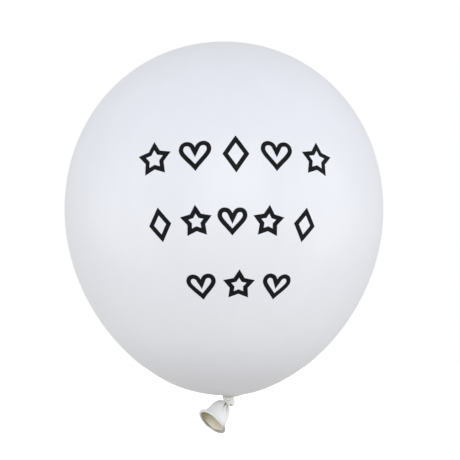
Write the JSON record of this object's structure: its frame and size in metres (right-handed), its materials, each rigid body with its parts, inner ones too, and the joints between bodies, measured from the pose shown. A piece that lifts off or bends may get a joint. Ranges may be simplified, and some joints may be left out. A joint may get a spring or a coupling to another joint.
{
  "type": "tied latex balloon",
  "caption": "Blown-up latex balloon with printed motifs, a knotted neck, and a flared tail with a rolled lip that swings and nods.",
  "frame": {"origin": "the tie point: on the neck's axis in the narrow collar between the body and the knot", "axes": "+Z from the tie point up to the crown, -Y out of the printed front, +X to the right of someone facing the front"},
  "size_m": [0.28, 0.2803, 0.3446],
  "materials": {
    "body_latex": "stretched white latex film, soft gloss, faintly bluish",
    "neck_latex": "unstretched white latex, satin, gathered in pleats, cream inside",
    "lip_latex": "tightly rolled latex, satin, grey-white",
    "print_ink": "flexible black screen ink, satin"
  },
  "bodies": {
    "body": {"envelope": "body_latex", "print_row1_1_star": "print_ink", "print_row1_2_heart": "print_ink", "print_row1_3_diamond": "print_ink", "print_row1_4_heart": "print_ink", "print_row1_5_star": "print_ink", "print_row2_1_diamond": "print_ink", "print_row2_2_star": "print_ink", "print_row2_3_heart": "print_ink", "print_row2_4_star": "print_ink", "print_row2_5_diamond": "print_ink", "print_row3_1_heart": "print_ink", "print_row3_2_star": "print_ink", "print_row3_3_heart": "print_ink"},
    "neck": {"throat": "neck_latex"},
    "knot": {"knot_loop": "neck_latex", "knot_tuck": "neck_latex"},
    "tail_stem": {"tail_root": "neck_latex"},
    "tail": {"tail_sleeve": "neck_latex", "lip_bead": "lip_latex"}
  },
  "joints": [
    {"name": "neck_rock", "type": "hinge", "parent": "body", "child": "neck", "pos_m": [0, 0, 0.0017], "axis": [1, 0, 0], "range_deg": [-10, 20], "stiffness_Nm_per_rad": 0.004},
    {"name": "knot_sway", "type": "hinge", "parent": "neck", "child": "knot", "pos_m": [0, 0, -0.0019], "axis": [0, 1, 0], "range_deg": [-20, 10], "stiffness_Nm_per_rad": 0.004},
    {"name": "tail_swing", "type": "hinge", "parent": "knot", "child": "tail_stem", "pos_m": [-0.00132, -0.00126, -0.0077], "axis": [-0.5236, -0.3972, 0.7537], "range_deg": [-40, 40], "stiffness_Nm_per_rad": 0.003},
    {"name": "tail_nod", "type": "hinge", "parent": "tail_stem", "child": "tail", "pos_m": [-0.0033, -0.00276, -0.00987], "axis": [0.6044, -0.7967, 0], "range_deg": [-12, 35], "stiffness_Nm_per_rad": 0.003}
  ]
}
